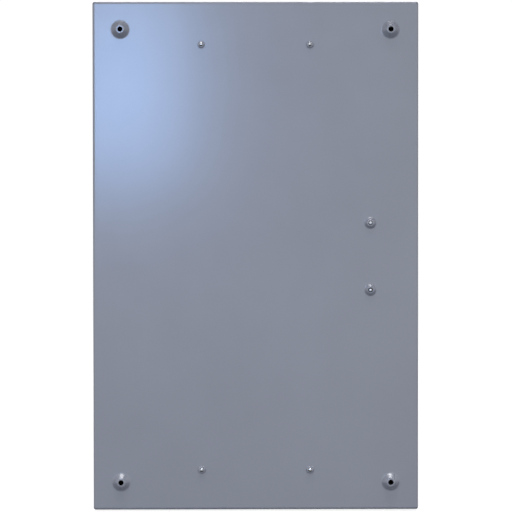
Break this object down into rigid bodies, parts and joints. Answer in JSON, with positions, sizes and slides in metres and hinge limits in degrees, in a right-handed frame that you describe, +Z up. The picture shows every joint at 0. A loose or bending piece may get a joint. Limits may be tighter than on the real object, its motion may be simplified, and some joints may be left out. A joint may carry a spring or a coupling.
{
  "type": "residential load center",
  "caption": "Indoor surface-mounted residential load center: folded steel box with wall bosses, bus interior, main and branch breakers, neutral and ground bars, trim and hinged door.",
  "frame": {"origin": "centre of the rectangle of four wall-mounting holes, on the plane of the mounting bosses' tops (the wall)", "axes": "+Z up, +Y into the wall (the front faces -Y), +X to the right as seen from the front"},
  "size_m": [0.3656, 0.1078, 0.5686],
  "materials": {
    "box_paint": "semi-gloss grey powder coat",
    "cover_paint": "semi-gloss grey powder coat",
    "galvanised": "galvanised, fine spangle",
    "zinc": "bright zinc plate",
    "tinned_bus": "tin-plated, satin",
    "terminal_aluminium": "extruded, satin",
    "jaw_copper": "bright copper alloy",
    "base_moulding": "moulded thermoset",
    "breaker_case": "fine moulded texture",
    "breaker_handle": "smooth moulded",
    "filler_plastic": "moulded grey",
    "latch_plastic": "smooth moulded",
    "green_screw": "green-dyed zinc",
    "card": "matt"
  },
  "bodies": {
    "root": {"enclosure_box": "box_paint", "interior_screws": "zinc", "interior_pan": "galvanised", "breaker_rail_right": "galvanised", "breaker_rail_left": "galvanised", "bus_insulator": "base_moulding", "bus_bar_a": "tinned_bus", "bus_bar_b": "tinned_bus", "bus_screws": "zinc", "neutral_bar_left": "terminal_aluminium", "neutral_bar_right": "terminal_aluminium", "neutral_strap": "tinned_bus", "neutral_standoffs": "base_moulding", "neutral_bar_screws": "zinc", "neutral_lug": "terminal_aluminium", "neutral_lug_screw": "zinc", "bonding_screw": "green_screw", "ground_bar": "terminal_aluminium", "ground_bar_screws": "zinc", "ground_bar_mounting_screws": "zinc", "main_breaker_case": "breaker_case", "line_lugs": "terminal_aluminium", "line_lug_screws": "zinc", "branch_line_jaws": "jaw_copper", "branch_terminal_screws": "zinc", "filler_plates": "filler_plastic", "cover_trim": "cover_paint", "dead_front": "cover_paint", "cover_screws": "zinc", "door_hinge_pins": "zinc", "branch_left_1_case": "breaker_case", "branch_left_2_case": "breaker_case", "branch_left_3_case": "breaker_case", "branch_left_4_case": "breaker_case", "branch_left_5_case": "breaker_case", "branch_right_1_case": "breaker_case", "branch_right_2_case": "breaker_case", "branch_right_3_case": "breaker_case", "branch_right_4_case": "breaker_case", "branch_right_5_case": "breaker_case"},
    "branch_left_1_handle": {"branch_left_1_handle": "breaker_handle"},
    "branch_left_2_handle": {"branch_left_2_handle": "breaker_handle"},
    "branch_left_3_handle": {"branch_left_3_handle": "breaker_handle"},
    "branch_left_4_handle": {"branch_left_4_handle": "breaker_handle"},
    "branch_left_5_handle": {"branch_left_5_handle": "breaker_handle"},
    "branch_right_1_handle": {"branch_right_1_handle": "breaker_handle"},
    "branch_right_2_handle": {"branch_right_2_handle": "breaker_handle"},
    "branch_right_3_handle": {"branch_right_3_handle": "breaker_handle"},
    "branch_right_4_handle": {"branch_right_4_handle": "breaker_handle"},
    "branch_right_5_handle": {"branch_right_5_handle": "breaker_handle"},
    "main_handle": {"main_breaker_handle": "breaker_handle"},
    "door": {"door": "cover_paint", "latch_guide": "galvanised", "directory_card": "card"},
    "latch": {"door_latch": "latch_plastic"}
  },
  "joints": [
    {"name": "branch_left_1_throw", "type": "hinge", "parent": "root", "child": "branch_left_1_handle", "pos_m": [-0.043, -0.0895, 0.0351], "axis": [0, 0, 1], "range_deg": [0, 40]},
    {"name": "branch_left_2_throw", "type": "hinge", "parent": "root", "child": "branch_left_2_handle", "pos_m": [-0.043, -0.0895, -0.003], "axis": [0, 0, 1], "range_deg": [0, 40]},
    {"name": "branch_left_3_throw", "type": "hinge", "parent": "root", "child": "branch_left_3_handle", "pos_m": [-0.043, -0.0895, -0.0284], "axis": [0, 0, 1], "range_deg": [0, 40]},
    {"name": "branch_left_4_throw", "type": "hinge", "parent": "root", "child": "branch_left_4_handle", "pos_m": [-0.043, -0.0895, -0.0538], "axis": [0, 0, 1], "range_deg": [0, 40]},
    {"name": "branch_left_5_throw", "type": "hinge", "parent": "root", "child": "branch_left_5_handle", "pos_m": [-0.043, -0.0895, -0.0792], "axis": [0, 0, 1], "range_deg": [0, 40]},
    {"name": "branch_right_1_throw", "type": "hinge", "parent": "root", "child": "branch_right_1_handle", "pos_m": [0.043, -0.0895, 0.0351], "axis": [0, 0, -1], "range_deg": [0, 40]},
    {"name": "branch_right_2_throw", "type": "hinge", "parent": "root", "child": "branch_right_2_handle", "pos_m": [0.043, -0.0895, -0.003], "axis": [0, 0, -1], "range_deg": [0, 40]},
    {"name": "branch_right_3_throw", "type": "hinge", "parent": "root", "child": "branch_right_3_handle", "pos_m": [0.043, -0.0895, -0.0284], "axis": [0, 0, -1], "range_deg": [0, 40]},
    {"name": "branch_right_4_throw", "type": "hinge", "parent": "root", "child": "branch_right_4_handle", "pos_m": [0.043, -0.0895, -0.0538], "axis": [0, 0, -1], "range_deg": [0, 40]},
    {"name": "branch_right_5_throw", "type": "hinge", "parent": "root", "child": "branch_right_5_handle", "pos_m": [0.043, -0.0895, -0.0792], "axis": [0, 0, -1], "range_deg": [0, 40]},
    {"name": "main_throw", "type": "hinge", "parent": "root", "child": "main_handle", "pos_m": [0, -0.0875, 0.1285], "axis": [-1, 0, 0], "range_deg": [0, 40]},
    {"name": "door_swing", "type": "hinge", "parent": "root", "child": "door", "pos_m": [-0.0858, -0.1016, -0.018], "axis": [0, 0, -1], "range_deg": [0, 110]},
    {"name": "latch_slide", "type": "slide", "parent": "door", "child": "latch", "axis": [1, 0, 0], "range_m": [0, 0.006]}
  ]
}
